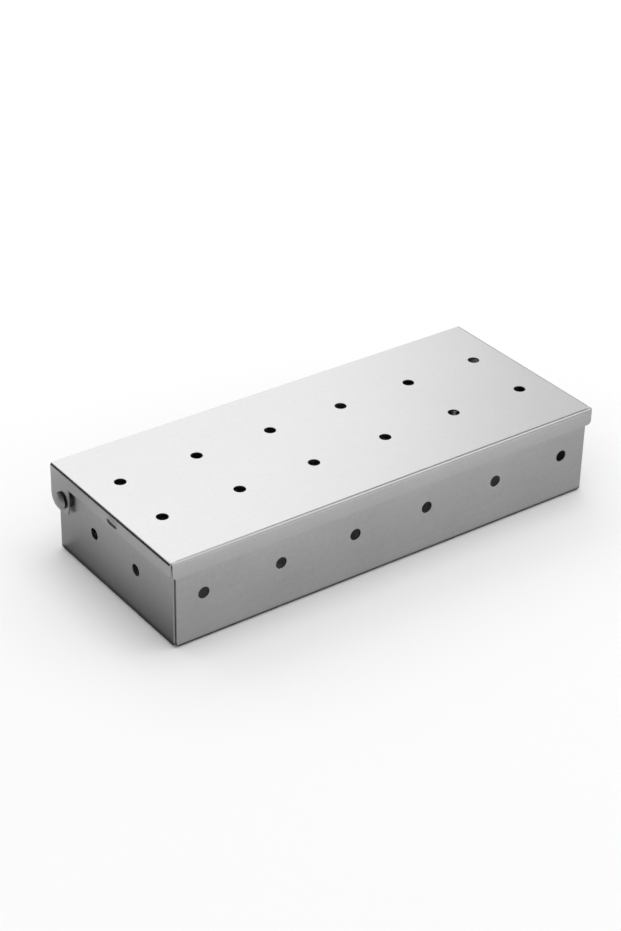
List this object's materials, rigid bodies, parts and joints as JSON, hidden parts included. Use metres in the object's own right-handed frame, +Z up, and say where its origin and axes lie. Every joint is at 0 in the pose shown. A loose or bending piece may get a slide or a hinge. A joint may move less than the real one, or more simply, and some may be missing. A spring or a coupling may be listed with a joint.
{
  "type": "grill smoker box",
  "caption": "Shallow folded sheet-steel tray for wood chips, with rows of smoke holes and a shallow folded lid that swings up on rivets through its rear ears.",
  "frame": {"origin": "on the ground, in the middle below the whole box with its lid shut", "axes": "+X along the length, to the right seen from the front; +Y to the rear, where the hinge is; +Z up"},
  "size_m": [0.232, 0.0966, 0.0435],
  "materials": {
    "tray_sheet": "satin stainless sheet with a faint grain",
    "lid_sheet": "satin stainless sheet with a faint grain",
    "rivet_steel": "smooth cold-headed steel",
    "washer_steel": "plain stamped steel"
  },
  "bodies": {
    "tray": {"tray": "tray_sheet", "left_rivet": "rivet_steel", "right_rivet": "rivet_steel", "left_spacer_washer": "washer_steel", "right_spacer_washer": "washer_steel"},
    "lid": {"lid": "lid_sheet"}
  },
  "joints": [
    {"name": "lid_hinge", "type": "hinge", "parent": "tray", "child": "lid", "pos_m": [0, 0.03915, 0.0289], "axis": [-1, 0, 0], "range_deg": [0, 120]}
  ]
}
